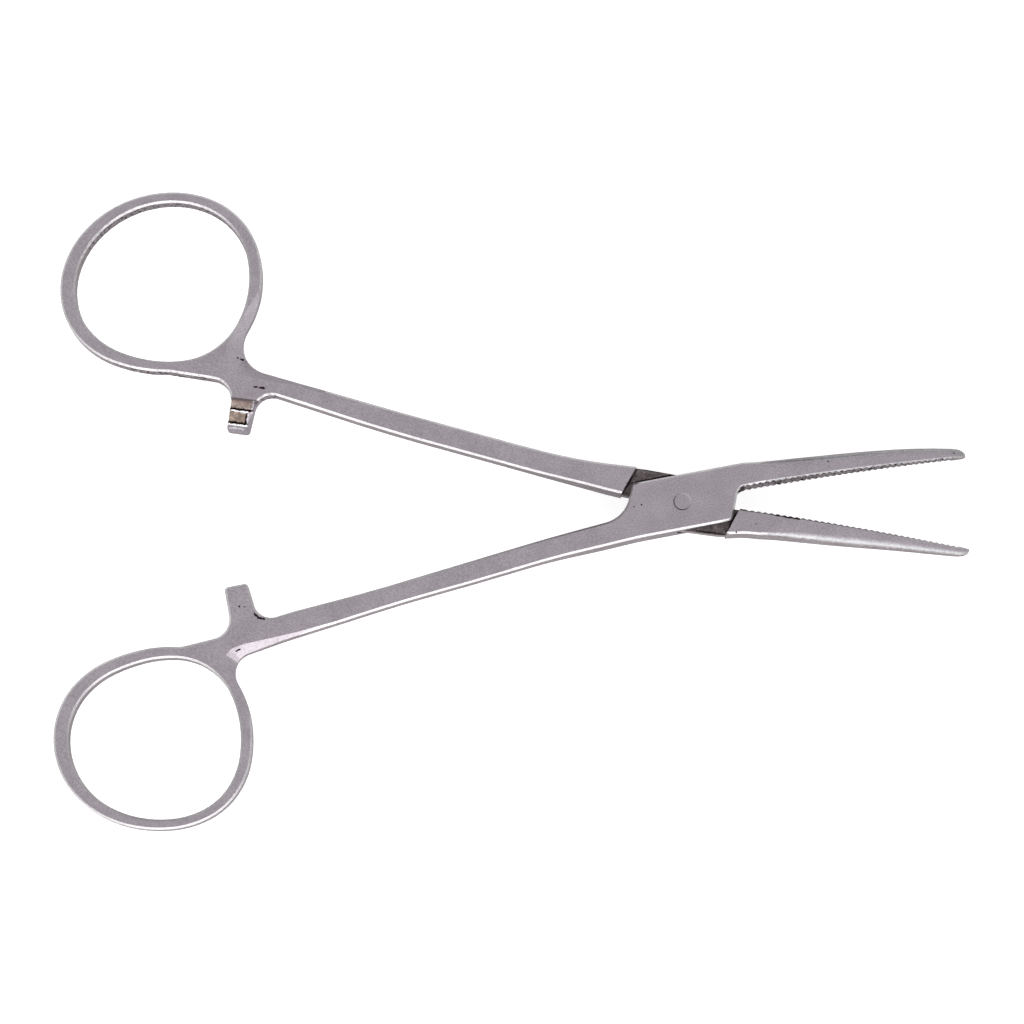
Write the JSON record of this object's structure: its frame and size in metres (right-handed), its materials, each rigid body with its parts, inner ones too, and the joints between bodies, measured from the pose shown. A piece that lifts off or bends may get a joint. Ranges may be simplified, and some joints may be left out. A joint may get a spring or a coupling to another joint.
{
  "type": "hemostat forceps",
  "caption": "Locking surgical forceps lying part open: finger rings, toothed ratchet arms, long tapering shanks, a flat box-lock pivot and curved jaws with cross serrations.",
  "frame": {"origin": "on the pivot axis, in the flat rear face of the box lock", "axes": "+X towards the jaw tips along the line that halves the opening, +Y towards the ring of the half that turns, +Z along the pivot to the side that shows; the jaws curve towards -Z"},
  "size_m": [0.1371, 0.096, 0.009],
  "materials": {
    "forging": "satin stainless steel, a little warm, with brighter bevelled rims",
    "rivet": "satin stainless steel, ground flush with the box"
  },
  "bodies": {
    "box_half": {"female_half": "forging", "pivot_rivet": "rivet"},
    "web_half": {"male_half": "forging"}
  },
  "joints": [
    {"name": "pivot", "type": "hinge", "parent": "box_half", "child": "web_half", "pos_m": [0, 0, 0], "axis": [0, 0, 1], "range_deg": [-21.3, 18.2]}
  ]
}
